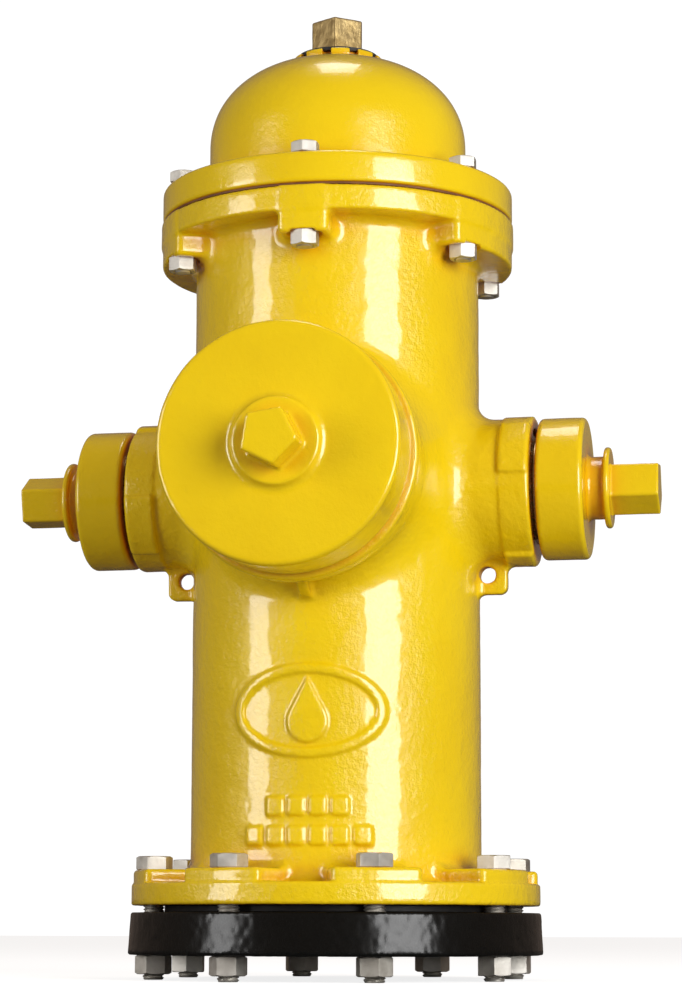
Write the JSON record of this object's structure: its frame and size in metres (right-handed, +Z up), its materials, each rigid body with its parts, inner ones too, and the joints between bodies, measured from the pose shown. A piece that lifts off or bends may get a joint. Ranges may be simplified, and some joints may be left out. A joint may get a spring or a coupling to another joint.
{
  "type": "fire hydrant",
  "caption": "Dry-barrel fire hydrant, above-ground section: two hose outlets and a pumper outlet with screw caps, domed bonnet, turning operating nut that lowers a stem.",
  "frame": {"origin": "on the barrel's axis, at the underside of the black break ring, where the lower barrel enters", "axes": "+Z up along the barrel, -Y out of the pumper outlet, +X and -X out of the two hose outlets"},
  "size_m": [0.493, 0.4026, 0.74],
  "materials": {
    "yellow_enamel": "gloss enamel over rough cast iron",
    "black_enamel": "gloss black enamel over rough cast iron",
    "bronze": "cast bronze, machined",
    "raw_bronze": "cast bronze, unpainted",
    "zinc": "zinc plated",
    "steel": "machined",
    "seal_plate_iron": "machined cast iron",
    "rubber": "matte",
    "washer": "low-friction plastic"
  },
  "bodies": {
    "hydrant_body": {"break_ring": "black_enamel", "base_gasket": "rubber", "base_bolts": "zinc", "base_nuts": "zinc", "barrel": "yellow_enamel", "hose_nozzle_right": "bronze", "hose_nozzle_left": "bronze", "pumper_nozzle": "bronze", "hose_nozzle_oring_right": "rubber", "hose_nozzle_oring_left": "rubber", "pumper_nozzle_oring": "rubber", "nozzle_lock_screws": "steel", "bonnet_gasket": "rubber", "seal_plate": "seal_plate_iron", "seal_plate_oring": "rubber", "stem_orings": "rubber", "bonnet": "yellow_enamel", "bonnet_bolts": "zinc", "bonnet_nuts": "zinc", "lower_thrust_washer": "washer", "upper_thrust_washer": "washer", "hold_down_nut": "yellow_enamel", "operating_nut_orings": "rubber", "weather_seal": "rubber"},
    "operating_nut_body": {"operating_nut": "raw_bronze"},
    "stem": {"upper_stem": "steel", "stem_sleeve": "bronze", "travel_stop_nut": "bronze", "stem_coupling": "bronze", "coupling_pin": "steel", "cotter_pin": "zinc"},
    "right_hose_cap_seal": {"hose_cap_gasket_right": "rubber"},
    "right_hose_cap": {"hose_cap_right": "yellow_enamel"},
    "left_hose_cap_seal": {"hose_cap_gasket_left": "rubber"},
    "left_hose_cap": {"hose_cap_left": "yellow_enamel"},
    "pumper_cap_seal": {"pumper_cap_gasket": "rubber"},
    "pumper_cap_body": {"pumper_cap": "yellow_enamel"}
  },
  "joints": [
    {"name": "operating_nut_turn", "type": "hinge", "parent": "hydrant_body", "child": "operating_nut_body", "pos_m": [0, 0, 0.7], "axis": [0, 0, 1], "range_deg": [0, 4320]},
    {"name": "stem_travel", "type": "slide", "parent": "hydrant_body", "child": "stem", "axis": [0, 0, -1], "range_m": [0, 0.0508]},
    {"name": "right_hose_cap_travel", "type": "slide", "parent": "hydrant_body", "child": "right_hose_cap_seal", "axis": [1, 0, 0], "range_m": [0, 0.02371]},
    {"name": "right_hose_cap_turn", "type": "hinge", "parent": "right_hose_cap_seal", "child": "right_hose_cap", "pos_m": [0.18, 0, 0.347], "axis": [1, 0, 0], "range_deg": [0, 2520]},
    {"name": "left_hose_cap_travel", "type": "slide", "parent": "hydrant_body", "child": "left_hose_cap_seal", "axis": [-1, 0, 0], "range_m": [0, 0.02371]},
    {"name": "left_hose_cap_turn", "type": "hinge", "parent": "left_hose_cap_seal", "child": "left_hose_cap", "pos_m": [-0.18, 0, 0.347], "axis": [-1, 0, 0], "range_deg": [0, 2520]},
    {"name": "pumper_cap_travel", "type": "slide", "parent": "hydrant_body", "child": "pumper_cap_seal", "axis": [0, -1, 0], "range_m": [0, 0.03175]},
    {"name": "pumper_cap_turn", "type": "hinge", "parent": "pumper_cap_seal", "child": "pumper_cap_body", "pos_m": [0, -0.2, 0.351], "axis": [0, -1, 0], "range_deg": [0, 1800]}
  ],
  "couplings": [
    {"joint": "operating_nut_turn", "follows": "stem_travel", "rad_per_m": 1484.2},
    {"joint": "right_hose_cap_travel", "follows": "right_hose_cap_turn", "m_per_rad": 0.00053906},
    {"joint": "left_hose_cap_travel", "follows": "left_hose_cap_turn", "m_per_rad": 0.00053906},
    {"joint": "pumper_cap_travel", "follows": "pumper_cap_turn", "m_per_rad": 0.0010106}
  ]
}
